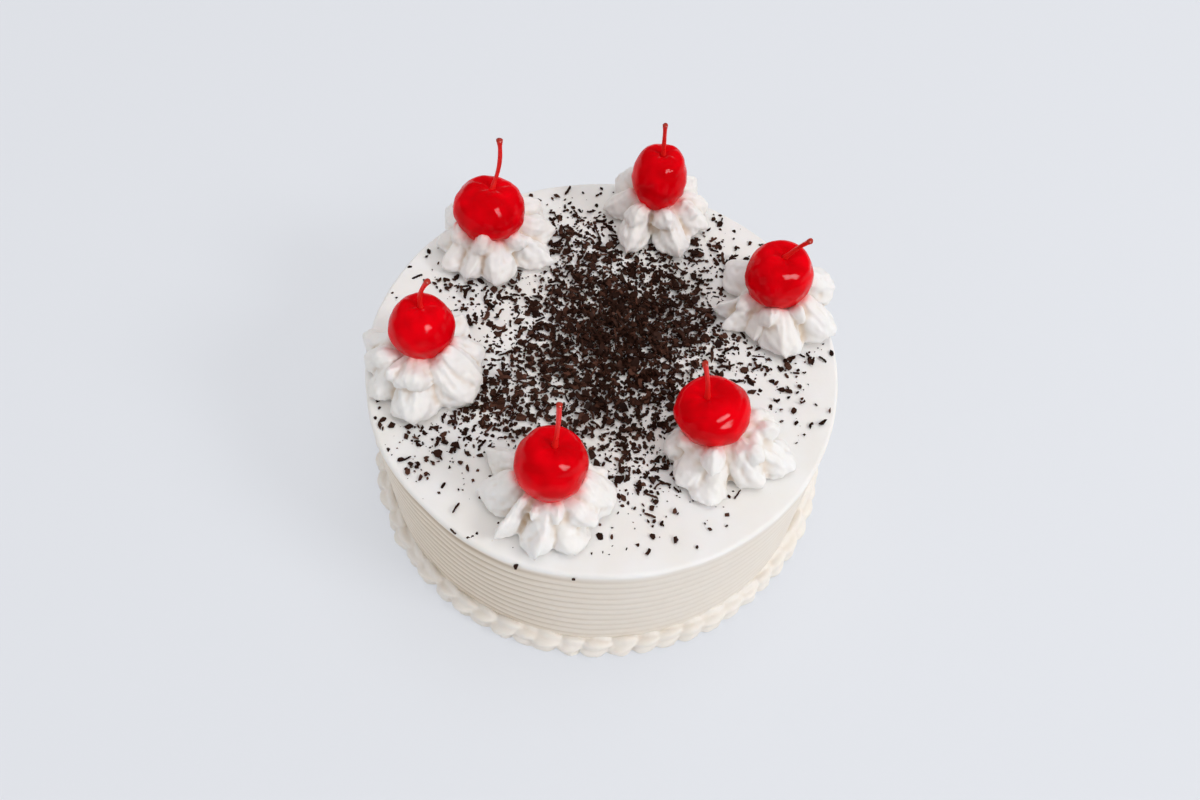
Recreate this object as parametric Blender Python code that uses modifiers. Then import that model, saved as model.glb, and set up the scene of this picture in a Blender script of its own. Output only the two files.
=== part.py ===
"""A small black forest cake.

A round cake under white cream, its side drawn round with a comb, stands in a
piped border of shells. Six piped rosettes sit near the rim, and each holds a
glossy cherry with a short stem, pressed into its middle. The origin is the
centre of the cake's flat base and +Z is up. All sizes are in metres.
"""

import math
import random

import bmesh
import bpy
from mathutils import Vector

GAP = 0.0003  # between two pieces that touch
MERGE = 0.00005  # the turned profile's own welding distance
SHARP_FOLD = math.radians(50.0)  # an edge that folds by more than this isn't smoothed

# The cake, a turned solid.
CAKE_RADIUS = 0.078
CAKE_HEIGHT = 0.0596
RIM_RADIUS = 0.0015
RIM_STEPS = 3
COMB_RIDGES = 11
COMB_FOOT = 0.0050
COMB_TOP = CAKE_HEIGHT - 0.0046
COMB_DEPTH = 0.00055
CAKE_STEPS = 40

# The shell border, a ring piped round the base.
SHELLS = 62
SHELL_HEIGHT = 0.0074
SHELL_REACH = 0.0050  # how far a full shell stands out of the cake's side
SHELL_WAIST = 0.62  # a shell's size where it meets the next, as a share of its fullest
SHELL_PHASES = (0.0, 0.30, 0.70)
SHELL_SKEW = 0.8  # below 1, a shell is fullest before its middle
SHELL_SPREAD = 0.10  # how uneven the shells are
SHELL_SEED = 11
# A shell's section, as shares of its reach and of its height, round from the inner foot.
SHELL_SECTION = ((0.0, 0.0), (0.80, 0.0), (1.0, 0.34), (0.80, 0.72), (0.38, 0.97), (0.0, 0.88))

# The rosettes, whose petals are the rows of TOPPINGS below.
CREASE_SHARE = 0.80  # a crease between two petals, as a share of the shorter one's reach
CREASE_SINK = 0.74  # the same, for its height
FLANK_SHARE = 0.95  # a petal's side, as a share of its tip's reach
FLANK_TURN = 0.42  # where the side lies, as a share of the turn from the tip to the crease
PETAL_FOOT = (0.86, 0.0)  # (share of the reach, share of the crest), up the outside
PETAL_BELLY = (1.0, 0.24)
PETAL_SHOULDER = (0.88, 0.68)
PETAL_LIP = (0.64, 1.12)
CUP_CLEARANCE = 0.0006  # between a cherry and the hollow that it has pressed
CUP_TURNS = (52.0, 27.0)  # the hollow's rings, in degrees from its lowest point
LIP_CLEARANCE = 0.0020

# Cherries, which are ellipsoids with a dimple round the stem.
CHERRY_SEGMENTS = 12
CHERRY_RINGS = 9
DIMPLE_DEPTH = 0.0022
DIMPLE_TURN = math.radians(22.0)

STEM_RADIUS = 0.0008
STEM_POINTS = 6
STEM_LIFT = 0.0009  # from the dimple's floor to the stem's foot

MM = 0.001

# One row for each rosette and its cherry, in millimetres and degrees, anticlockwise from
# the front. A petal is (azimuth, reach, crest): the reach counts from the rosette's centre
# and the crest from the top of the cake. "root" and "tip" are the stem's two ends, both
# counted sideways from the cherry's centre, and "tip" has its height above the cake too.
TOPPINGS = (
    {
        "centre": (-14.0, -52.0),
        "petals": (
            (18, 18, 11), (60, 17, 11), (104, 18, 11), (149, 24.5, 11), (196, 20.5, 11),
            (231, 22.6, 11), (265, 22.6, 11), (302, 22, 9), (350, 20.5, 13),
        ),
        "cherry": {"offset": (0.9, 0.3, 19.0), "radii": (10.8, 11.0, 11.6)},
        "stem": {"root": (1.4, 1.8), "tip": (2.2, 4.0, 45.5), "bow": (0.3, 0.0)},
    },
    {
        "centre": (38.0, -31.0),
        "petals": (
            (24, 18, 11), (84, 17, 10), (136, 17, 11), (190, 17.5, 10), (229, 19, 9),
            (258, 23, 8), (284, 18.5, 10), (309, 20.5, 9), (342, 24, 9),
        ),
        "cherry": {"offset": (-4.2, 1.4, 17.6), "radii": (11.8, 11.2, 10.0)},
        "stem": {"root": (-3.0, 0.9), "tip": (-5.2, 1.2, 41.0), "bow": (0.4, 0.0)},
    },
    {
        "centre": (56.0, 24.0),
        "petals": (
            (26, 23.2, 13), (80, 18, 11), (136, 21.5, 11), (194, 21, 9), (214, 20.5, 8),
            (244, 20, 8), (286, 22, 11), (328, 23.5, 11),
        ),
        "cherry": {"offset": (-0.2, -0.2, 19.0), "radii": (11.1, 11.1, 11.9)},
        "stem": {"root": (0.2, 0.2), "tip": (5.0, -5.2, 41.5), "bow": (0.4, 0.8)},
    },
    {
        "centre": (16.0, 63.0),
        "petals": (
            (6, 18.2, 10), (48, 19.5, 12), (96, 17, 11), (144, 20, 14), (180, 18.5, 10),
            (238, 22.3, 9), (274, 18.5, 9), (299, 21.5, 9), (326, 18, 9),
        ),
        "cherry": {"offset": (-0.4, 0.4, 19.4), "radii": (9.9, 10.4, 12.6)},
        "stem": {"root": (0.6, 1.6), "tip": (-0.1, 0.4, 42.5), "bow": (0.0, 0.0)},
    },
    {
        "centre": (-41.0, 46.0),
        "petals": (
            (11, 21, 11), (49, 21, 12), (98, 17, 11), (156, 20.5, 10), (190, 20, 9),
            (222, 22.5, 9), (248, 21, 9), (279, 21.5, 10), (310, 19.5, 10), (340, 24, 9),
        ),
        "cherry": {"offset": (-0.9, -1.2, 18.2), "radii": (12.2, 11.6, 11.0)},
        "stem": {"root": (1.4, 2.2), "tip": (4.2, 6.4, 43.5), "bow": (1.2, 0.4)},
    },
    {
        "centre": (-58.0, -10.0),
        "petals": (
            (20, 20.2, 12), (58, 22, 11), (102, 18, 11), (153, 23.0, 10), (180, 18, 9),
            (216, 19, 9), (263, 21.6, 11), (286, 21.4, 11), (338, 20.5, 13),
        ),
        "cherry": {"offset": (0.9, 3.4, 19.6), "radii": (10.3, 10.3, 10.6)},
        "stem": {"root": (0.7, 2.2), "tip": (4.2, 1.6, 40.0), "bow": (-1.2, 0.4)},
    },
)


def clear_scene():
    for obj in list(bpy.data.objects):
        bpy.data.objects.remove(obj)


def make_material(name, colour, roughness):
    material = bpy.data.materials.new(name)
    material.use_nodes = True
    shader = material.node_tree.nodes["Principled BSDF"]
    shader.inputs["Base Color"].default_value = (*colour, 1.0)
    shader.inputs["Roughness"].default_value = roughness
    shader.inputs["Metallic"].default_value = 0.0
    return material


def make_object(name, mesh, material, collection):
    """Makes an object in its collection, shaded smooth up to a sharp fold."""
    obj = bpy.data.objects.new(name, mesh)
    collection.objects.link(obj)
    mesh.materials.append(material)
    mesh.shade_smooth()
    mesh.set_sharp_from_angle(angle=SHARP_FOLD)
    return obj


def mesh_from(name, points, faces):
    mesh = bpy.data.meshes.new(name)
    mesh.from_pydata([tuple(point) for point in points], [], faces)
    mesh.update()
    return mesh


def polar(radius, angle, height):
    return Vector((radius * math.cos(angle), radius * math.sin(angle), height))


# The cake


def cake_profile():
    """The outline from the middle of the top, over the rim and down the side to the base."""
    points = [(0.0, CAKE_HEIGHT)]
    rim_x = CAKE_RADIUS - RIM_RADIUS
    rim_z = CAKE_HEIGHT - RIM_RADIUS
    for step in range(RIM_STEPS + 1):
        turn = math.radians(90.0) * (1.0 - step / RIM_STEPS)
        points.append((rim_x + RIM_RADIUS * math.cos(turn), rim_z + RIM_RADIUS * math.sin(turn)))
    pitch = (COMB_TOP - COMB_FOOT) / COMB_RIDGES
    for ridge in range(COMB_RIDGES):
        groove = COMB_TOP - ridge * pitch
        points.append((CAKE_RADIUS - COMB_DEPTH, groove))
        points.append((CAKE_RADIUS, groove - 0.5 * pitch))
    points.append((CAKE_RADIUS - COMB_DEPTH, COMB_FOOT))
    points.append((CAKE_RADIUS - COMB_DEPTH, 0.0))
    points.append((0.0, 0.0))
    return points


def make_cake(material, collection):
    outline = cake_profile()
    mesh = bpy.data.meshes.new("cake")
    points = [(x, 0.0, z) for x, z in outline]
    edges = [(step, step + 1) for step in range(len(points) - 1)]
    mesh.from_pydata(points, edges, [])
    cake = make_object("cake", mesh, material, collection)
    screw = cake.modifiers.new("turn", "SCREW")
    screw.axis = "Z"
    screw.angle = math.radians(360.0)
    screw.steps = CAKE_STEPS
    screw.render_steps = CAKE_STEPS
    screw.use_merge_vertices = True
    screw.merge_threshold = MERGE
    return cake


# The shell border


def shell_swell(phase):
    """A shell is full near its head and tapers to where the next one covers it."""
    return SHELL_WAIST + (1.0 - SHELL_WAIST) * math.sin(math.pi * phase ** SHELL_SKEW)


def make_border(material, collection):
    """A closed ring: one section for each phase of each shell, lofted round the cake."""
    draw = random.Random(SHELL_SEED)
    inner = CAKE_RADIUS + GAP
    points = []
    for shell in range(SHELLS):
        size = 1.0 + draw.uniform(-SHELL_SPREAD, SHELL_SPREAD)
        for phase in SHELL_PHASES:
            angle = math.tau * (shell + phase) / SHELLS
            swell = shell_swell(phase) * size
            for out, up in SHELL_SECTION:
                points.append(polar(inner + out * swell * SHELL_REACH, angle, up * swell * SHELL_HEIGHT))
    sections = SHELLS * len(SHELL_PHASES)
    corners = len(SHELL_SECTION)
    faces = []
    for section in range(sections):
        here = section * corners
        ahead = ((section + 1) % sections) * corners
        for corner in range(corners):
            beside = (corner + 1) % corners
            faces.append((here + corner, ahead + corner, ahead + beside, here + beside))
    return make_object("shell_border", mesh_from("shell_border", points, faces), material, collection)


# The rosettes


def petal_stations(petals):
    """(angle, reach, crest) round a rosette: each petal's side, tip and side, then a crease."""
    stations = []
    count = len(petals)
    for place, (azimuth, reach, crest) in enumerate(petals):
        before = petals[place - 1]
        after = petals[(place + 1) % count]
        turn_before = (azimuth - before[0]) % 360 / 2
        turn_after = (after[0] - azimuth) % 360 / 2
        stations.append((azimuth - FLANK_TURN * turn_before, FLANK_SHARE * reach, crest))
        stations.append((azimuth, reach, crest))
        stations.append((azimuth + FLANK_TURN * turn_after, FLANK_SHARE * reach, crest))
        crease_reach = CREASE_SHARE * min(reach, after[1])
        crease_crest = CREASE_SINK * min(crest, after[2])
        stations.append((azimuth + turn_after, crease_reach, crease_crest))
    return [(math.radians(turn), reach * MM, crest * MM) for turn, reach, crest in stations]


def cup_point(middle, radii, angle, turn):
    """A point of the hollow round a cherry's middle, at this turn from its lowest point."""
    return Vector((
        middle.x + radii[0] * math.sin(turn) * math.cos(angle),
        middle.y + radii[1] * math.sin(turn) * math.sin(angle),
        middle.z - radii[2] * math.cos(turn),
    ))


def lip_ring(centre, middle, cup_radii, stations):
    """The rosette's upper edge, held clear of the hollow."""
    lip = []
    for angle, reach, crest in stations:
        spot = centre + polar(PETAL_LIP[0] * reach, angle, PETAL_LIP[1] * crest)
        nearest = cup_point(middle, cup_radii, angle, math.radians(CUP_TURNS[0]))
        outward = (spot - middle).to_2d()
        least = (nearest - middle).to_2d().length + LIP_CLEARANCE
        if outward.length < least:
            spot.x, spot.y = middle.to_2d() + outward.normalized() * least
        lip.append(spot)
    return lip


def cup_ring(middle, cup_radii, lip, turn):
    """A ring of the hollow, one point for each point of the lip."""
    ring = []
    for spot in lip:
        away = spot - middle
        ring.append(cup_point(middle, cup_radii, math.atan2(away.y, away.x), math.radians(turn)))
    return ring


def ring_faces(levels, count):
    """Quads between neighbouring rings of this many points each."""
    faces = []
    for level in range(levels - 1):
        low = level * count
        high = low + count
        for place in range(count):
            beside = (place + 1) % count
            faces.append((low + place, low + beside, high + beside, high + place))
    return faces


def make_rosette(name, topping, material, collection):
    """A ring of petals round a hollow, as rings of points joined from the foot to the hollow."""
    centre = Vector((topping["centre"][0] * MM, topping["centre"][1] * MM, CAKE_HEIGHT + GAP))
    middle = cherry_centre(topping)
    cup_radii = [radius * MM + CUP_CLEARANCE for radius in topping["cherry"]["radii"]]
    stations = petal_stations(topping["petals"])
    rings = []
    for out, up in (PETAL_FOOT, PETAL_BELLY, PETAL_SHOULDER):
        rings.append([centre + polar(out * reach, angle, up * crest) for angle, reach, crest in stations])
    lip = lip_ring(centre, middle, cup_radii, stations)
    rings.append(lip)
    for turn in CUP_TURNS:
        rings.append(cup_ring(middle, cup_radii, lip, turn))
    points = [point for ring in rings for point in ring]
    points.append(centre)
    points.append(cup_point(middle, cup_radii, 0.0, 0.0))
    count = len(stations)
    faces = ring_faces(len(rings), count)
    foot, deepest = len(points) - 2, len(points) - 1
    last = (len(rings) - 1) * count
    for place in range(count):
        beside = (place + 1) % count
        faces.append((foot, beside, place))
        faces.append((deepest, last + place, last + beside))
    return make_object(name, mesh_from(name, points, faces), material, collection)


# The cherries


def cherry_centre(topping):
    x, y = topping["centre"]
    side, back, lift = topping["cherry"]["offset"]
    return Vector(((x + side) * MM, (y + back) * MM, CAKE_HEIGHT + lift * MM))


def dimple_direction(topping):
    """The unit direction of the stem's root, on a sphere before it takes the cherry's radii."""
    radii = topping["cherry"]["radii"]
    side = topping["stem"]["root"][0] / radii[0]
    back = topping["stem"]["root"][1] / radii[1]
    return Vector((side, back, math.sqrt(1.0 - side ** 2 - back ** 2)))


def make_cherry(name, topping, material, collection):
    """A sphere with its pole turned to the stem's root, stretched, and dimpled at the pole."""
    pole = dimple_direction(topping)
    lean = Vector((0.0, 0.0, 1.0)).rotation_difference(pole).to_matrix()
    radii = [radius * MM for radius in topping["cherry"]["radii"]]
    shape = bmesh.new()
    bmesh.ops.create_uvsphere(shape, u_segments=CHERRY_SEGMENTS, v_segments=CHERRY_RINGS, radius=1.0)
    for vertex in shape.verts:
        spot = lean @ vertex.co
        from_pole = pole.angle(spot)
        vertex.co = [value * radius for value, radius in zip(spot, radii)]
        vertex.co -= pole * DIMPLE_DEPTH * math.exp(-((from_pole / DIMPLE_TURN) ** 2))
    mesh = bpy.data.meshes.new(name)
    shape.to_mesh(mesh)
    shape.free()
    cherry = make_object(name, mesh, material, collection)
    cherry.location = cherry_centre(topping)
    return cherry


def stem_points(topping):
    """A bowed line from just over the dimple's floor to the stem's tip."""
    centre = cherry_centre(topping)
    pole = dimple_direction(topping)
    surface = Vector([value * radius * MM for value, radius in zip(pole, topping["cherry"]["radii"])])
    root = centre + surface - pole * (DIMPLE_DEPTH - STEM_LIFT)
    side, back, up = topping["stem"]["tip"]
    tip = Vector((centre.x + side * MM, centre.y + back * MM, CAKE_HEIGHT + up * MM))
    bow = Vector((*topping["stem"]["bow"], 0.0)) * MM
    points = []
    for step in range(STEM_POINTS):
        share = step / (STEM_POINTS - 1)
        points.append(root.lerp(tip, share) + bow * math.sin(math.pi * share))
    return points


def make_stem(name, topping, material, collection):
    points = stem_points(topping)
    curve = bpy.data.curves.new(name, "CURVE")
    curve.dimensions = "3D"
    curve.bevel_depth = STEM_RADIUS
    curve.bevel_resolution = 1
    curve.use_fill_caps = True
    spline = curve.splines.new("POLY")
    spline.points.add(len(points) - 1)
    for spot, point in zip(spline.points, points):
        spot.co = (*point, 1.0)
    stem = bpy.data.objects.new(name, curve)
    collection.objects.link(stem)
    curve.materials.append(material)
    return stem


def main():
    clear_scene()
    collection = bpy.data.collections.new("black_forest_cake")
    bpy.context.scene.collection.children.link(collection)
    cream = make_material("cream", (0.86, 0.84, 0.81), 0.55)
    cherry_red = make_material("cherry", (0.60, 0.004, 0.006), 0.16)
    stem_red = make_material("stem", (0.55, 0.02, 0.015), 0.35)
    make_cake(cream, collection)
    make_border(cream, collection)
    for number, topping in enumerate(TOPPINGS, start=1):
        make_rosette(f"rosette_{number}", topping, cream, collection)
        make_cherry(f"cherry_{number}", topping, cherry_red, collection)
        make_stem(f"cherry_stem_{number}", topping, stem_red, collection)


main()
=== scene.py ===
"""The looks of a small black forest cake: combed cream, a piped border and rosettes,
candied cherries and chocolate shavings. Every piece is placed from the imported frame."""

import math
import random

import bpy
import numpy as np
from mathutils import Matrix, Vector


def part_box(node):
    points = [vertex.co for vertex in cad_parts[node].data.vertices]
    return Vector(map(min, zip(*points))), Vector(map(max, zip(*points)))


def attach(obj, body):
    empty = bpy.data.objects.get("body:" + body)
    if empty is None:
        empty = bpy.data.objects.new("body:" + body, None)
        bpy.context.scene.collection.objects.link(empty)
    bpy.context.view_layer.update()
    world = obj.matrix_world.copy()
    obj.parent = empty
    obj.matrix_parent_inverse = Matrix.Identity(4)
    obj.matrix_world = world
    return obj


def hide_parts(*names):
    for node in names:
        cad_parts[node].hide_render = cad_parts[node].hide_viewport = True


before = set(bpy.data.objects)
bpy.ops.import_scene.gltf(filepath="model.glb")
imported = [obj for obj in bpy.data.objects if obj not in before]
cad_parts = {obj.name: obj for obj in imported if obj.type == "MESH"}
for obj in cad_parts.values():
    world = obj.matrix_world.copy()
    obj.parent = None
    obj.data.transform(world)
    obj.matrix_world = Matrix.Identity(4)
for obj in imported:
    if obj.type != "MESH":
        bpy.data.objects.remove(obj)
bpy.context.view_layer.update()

MM = 0.001
BODY = "root"

# The frame's own measures.
CAKE_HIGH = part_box("cake")[1]
CAKE_RADIUS = CAKE_HIGH.x
CAKE_TOP = CAKE_HIGH.z

# Colours, as linear values.
CREAM_PALE = (0.86, 0.845, 0.835)
CREAM_WARM = (0.84, 0.815, 0.785)
# Painted shade: the tan that the creases of the piped cream are tinted towards.
CREAM_CREASE_SHADE = (0.60, 0.45, 0.31)
# Painted shade: the tan that the comb's grooves are tinted towards.
CREAM_GROOVE_SHADE = (0.44, 0.34, 0.24)
# Painted shade and warm bounce light: the darker, warmer tint of the cake's side and border.
CREAM_SIDE_BOUNCE_SHADE = (0.86, 0.77, 0.66)
CHERRY_STAIN = (0.90, 0.30, 0.27)
CHERRY_BRIGHT = (0.80, 0.0, 0.005)
CHERRY_DEEP = (0.60, 0.0, 0.003)
STEM_RED = (0.80, 0.012, 0.010)
STEM_BROWN = (0.48, 0.03, 0.015)
CHOCOLATE_DARK = (0.015, 0.0048, 0.0025)
CHOCOLATE_BROWN = (0.115, 0.048, 0.031)
FLOOR_COLOUR = (0.765, 0.785, 0.83)

# The rosettes, in millimetres and degrees. A petal is (azimuth, reach, crest height,
# half width, lean of the crest, pointedness); the crest counts from the cake's top. A
# fold is a short petal high up, against the cherry. "offset" is the cherry's centre
# counted from the rosette's.
TOPPINGS = (
    {
        "offset": (0.9, 0.3),
        "petals": (
            (18, 18, 11, 5.0, 0.2, 0.2), (60, 17, 11, 6.0, -0.2, 0.3), (104, 18, 11, 6.0, 0.2, 0.3),
            (149, 24, 11, 5.5, 0.3, 0.8), (194, 20.5, 11, 6.6, -0.3, 0.1),
            (232, 22.8, 11.5, 2.8, 0.0, 0.5),
            (264, 22.8, 11, 6.4, 0.35, 0.7), (299, 22, 7.5, 6.6, -0.2, 0.0),
            (350, 20.5, 14, 7.6, 0.0, 0.0),
        ),
        "folds": (
            (320, 19.5, 11.5, 5.4, -0.3, 0.1), (284, 14.5, 12, 3.6, 0.2, 0.2),
            (249, 13.5, 12, 2.6, 0.2, 0.2),
        ),
        "root": (1.4, 1.8), "tip": (2.2, 4.0, 45.5), "bow": (0.3, 0.0), "flare": 0.25,
    },
    {
        "offset": (-4.2, 1.4),
        "petals": (
            (24, 18, 12, 6.5, 0.0, 0.0), (84, 17, 10, 6.5, 0.2, 0.3), (136, 17, 11, 6.5, -0.2, 0.3),
            (194, 18.5, 11, 6.0, 0.2, 0.2), (232, 20.5, 8, 6.4, -0.3, 0.0), (258, 23, 6.5, 6.6, 0.2, 0.0),
            (305, 19.5, 9.5, 5.8, 0.1, 0.0), (342, 24, 8.5, 7.6, -0.1, 0.0),
        ),
        "folds": (
            (254, 16.8, 15.5, 4.4, 0.1, 0.2), (204, 15.5, 12, 4.6, 0.3, 0.2),
            (322, 15.5, 12.5, 4.0, -0.2, 0.1), (0, 17.0, 13.0, 4.2, 0.1, 0.0),
        ),
        "root": (-3.0, 0.9), "tip": (-5.2, 1.2, 41.0), "bow": (0.4, 0.0), "flare": 0.25,
    },
    {
        "offset": (-0.2, -0.2),
        "petals": (
            (26, 23.0, 13, 7.4, 0.0, 0.1), (80, 18, 11, 6.5, 0.2, 0.3), (136, 21.5, 11, 6.5, -0.2, 0.3),
            (194, 21, 9, 3.8, 0.2, 0.9), (216, 20.5, 8, 4.4, -0.3, 0.8), (244, 17.0, 7.5, 4.6, 0.3, 0.5),
            (281, 22.5, 11, 7.6, -0.2, 0.1), (328, 23.3, 11.5, 7.4, 0.0, 0.0),
        ),
        "folds": (
            (256, 15.5, 12.5, 3.8, 0.3, 0.0), (206, 14.5, 11.5, 4.0, 0.2, 0.2),
            (306, 15.5, 12, 3.6, -0.2, 0.2),
        ),
        "root": (0.2, 0.2), "tip": (5.0, -5.2, 41.5), "bow": (0.4, 0.8), "flare": 0.25,
    },
    {
        "offset": (-0.4, 0.4),
        "petals": (
            (6, 18.2, 10, 5.0, 0.2, 0.3), (48, 19.5, 12, 5.2, 0.0, 0.5), (96, 17, 11, 6.0, 0.2, 0.3),
            (144, 20, 14, 5.6, -0.2, 0.6), (184, 18.8, 10, 5.2, 0.2, 0.2), (236, 22.3, 9, 6.0, 0.3, 0.3),
            (298, 22.5, 9.5, 7.2, -0.3, 0.8), (334, 18.5, 9, 5.8, 0.2, 0.1),
        ),
        "folds": (
            (284, 15.5, 13.0, 4.6, 0.0, 0.2), (232, 16.5, 12.5, 4.8, 0.3, 0.1),
            (336, 15.5, 12, 4.0, -0.2, 0.1),
        ),
        "root": (0.6, 1.6), "tip": (-0.1, 0.4, 42.5), "bow": (0.0, 0.0), "flare": 0.2,
    },
    {
        "offset": (-0.9, -1.2),
        "petals": (
            (11, 21, 11, 5.5, 0.1, 0.2), (49, 21, 12, 6.4, 0.0, 0.1), (98, 17, 11, 6.5, 0.2, 0.3),
            (156, 20.5, 10, 6.5, -0.2, 0.2), (192, 20, 9, 5.6, 0.2, 0.1), (224, 22.5, 10, 4.6, -0.4, 0.2),
            (246, 21, 9.5, 5.0, 0.35, 0.2), (280, 21.5, 10.5, 6.2, -0.3, 0.0),
            (330, 24, 8, 7.0, 0.2, 0.9),
        ),
        "folds": (
            (212, 16.0, 13.5, 5.0, 0.3, 0.1), (262, 15.8, 14.5, 4.4, 0.2, 0.1),
            (320, 15.0, 12, 4.4, -0.2, 0.1),
        ),
        "root": (1.4, 2.2), "tip": (4.2, 6.4, 43.5), "bow": (1.2, 0.4), "flare": 0.6,
    },
    {
        "offset": (0.9, 3.4),
        "petals": (
            (14, 20.2, 12, 6.8, 0.0, 0.1), (58, 22, 11, 5.4, 0.2, 0.5), (102, 18, 11, 6.5, -0.2, 0.3),
            (153, 22.8, 10, 5.4, 0.2, 0.3), (184, 18.5, 9.5, 4.8, -0.3, 0.1),
            (218, 19.5, 8.5, 5.8, 0.2, 0.0),
            (273, 22.0, 11, 8.0, 0.0, 0.0), (324, 21.5, 11.5, 7.4, -0.2, 0.1),
            (346, 20.5, 13.5, 7.4, 0.0, 0.0),
        ),
        "folds": (
            (200, 15.5, 13, 4.2, 0.2, 0.0), (236, 14.5, 14, 3.6, -0.2, 0.1),
            (272, 15.5, 16.0, 6.4, 0.0, 0.0),
        ),
        "root": (0.7, 2.2), "tip": (4.2, 1.6, 40.0), "bow": (-1.2, 0.4), "flare": 0.3,
    },
)


# Meshes


def new_mesh(name, points, faces):
    mesh = bpy.data.meshes.new(name)
    mesh.from_pydata(np.asarray(points).tolist(), [], faces)
    mesh.update()
    return mesh


def adopt(name, mesh, material, replaced=()):
    """Makes a mesh a smooth-shaded piece that rides on the cake."""
    piece = bpy.data.objects.new(name, mesh)
    bpy.context.scene.collection.objects.link(piece)
    mesh.materials.clear()
    mesh.materials.append(material)
    mesh.shade_smooth()
    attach(piece, BODY)
    if replaced:
        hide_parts(*replaced)
    return piece


def set_attribute(mesh, name, values):
    layer = mesh.attributes.new(name, "FLOAT", "POINT")
    layer.data.foreach_set("value", np.asarray(values, np.float32))


def mesh_points(mesh):
    flat = np.empty(len(mesh.vertices) * 3, np.float32)
    mesh.vertices.foreach_get("co", flat)
    return flat.reshape(-1, 3).astype(float)


def mesh_normals(mesh):
    flat = np.empty(len(mesh.vertices) * 3, np.float32)
    mesh.vertex_normals.foreach_get("vector", flat)
    return flat.reshape(-1, 3).astype(float)


def set_points(mesh, points):
    mesh.vertices.foreach_set("co", np.asarray(points, np.float32).ravel())
    mesh.update()


def mesh_edges(mesh):
    flat = np.empty(len(mesh.edges) * 2, np.int32)
    mesh.edges.foreach_get("vertices", flat)
    return flat.reshape(-1, 2)


def smoothed(points, edges, rounds, share=0.5):
    """The points after some rounds of moving each towards the mean of its neighbours."""
    count = len(points)
    touching = np.bincount(edges.ravel(), minlength=count).astype(float)[:, None]
    touching[touching == 0] = 1.0
    for _ in range(rounds):
        total = np.empty_like(points)
        for axis in range(3):
            near = np.bincount(edges[:, 0], points[edges[:, 1], axis], count)
            total[:, axis] = near + np.bincount(edges[:, 1], points[edges[:, 0], axis], count)
        points = points + share * (total / touching - points)
    return points


def swell(points, size, seed, waves=9):
    """A smooth, seeded unevenness of about -1 to 1 whose swells are this size across."""
    draw = np.random.default_rng(seed)
    total = np.zeros(len(points))
    for _ in range(waves):
        direction = draw.normal(size=3)
        direction /= np.linalg.norm(direction)
        rate = math.tau / size * draw.uniform(0.55, 1.35)
        total += np.cos(points @ direction * rate + draw.uniform(0.0, math.tau))
    return total / math.sqrt(waves)


def uneven(points, swells):
    """The sum of some swells, each given as (width, height, seed) in millimetres."""
    return sum(height * MM * swell(points, width * MM, seed) for width, height, seed in swells)


def grid_faces(rows, columns):
    """Quads of a grid that closes on itself along its columns."""
    faces = []
    for row in range(rows - 1):
        here = row * columns
        ahead = here + columns
        for column in range(columns):
            beside = (column + 1) % columns
            faces.append((here + column, here + beside, ahead + beside, ahead + column))
    return faces


def domed_faces(rows, columns):
    """The grid's faces turned over, with a fan to a last point but one and to a last point."""
    faces = [tuple(reversed(face)) for face in grid_faces(rows, columns)]
    top = rows * columns
    base = top + 1
    last = top - columns
    for place in range(columns):
        beside = (place + 1) % columns
        faces.append((top, place, beside))
        faces.append((base, last + beside, last + place))
    return faces


def fused(name, points, faces, voxel, rounds):
    """One closed skin round overlapping closed forms, softened where they meet."""
    mesh = new_mesh(name + "_raw", points, faces)
    raw = bpy.data.objects.new(name + "_raw", mesh)
    bpy.context.scene.collection.objects.link(raw)
    remesh = raw.modifiers.new("skin", "REMESH")
    remesh.mode = "VOXEL"
    remesh.voxel_size = voxel
    remesh.adaptivity = 0.0
    bpy.context.view_layer.update()
    skin = bpy.data.meshes.new_from_object(raw.evaluated_get(bpy.context.evaluated_depsgraph_get()))
    bpy.data.objects.remove(raw)
    bpy.data.meshes.remove(mesh)
    skin.name = name
    set_points(skin, smoothed(mesh_points(skin), mesh_edges(skin), rounds))
    return skin


def cavity(mesh, rounds, full):
    """How deep each point lies in a hollow, from 0 to 1, against a much softened copy."""
    points = mesh_points(mesh)
    soft = smoothed(points, mesh_edges(mesh), rounds)
    depth = np.einsum("ij,ij->i", soft - points, mesh_normals(mesh))
    return np.clip(depth / full, 0.0, 1.0)


# Materials


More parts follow.
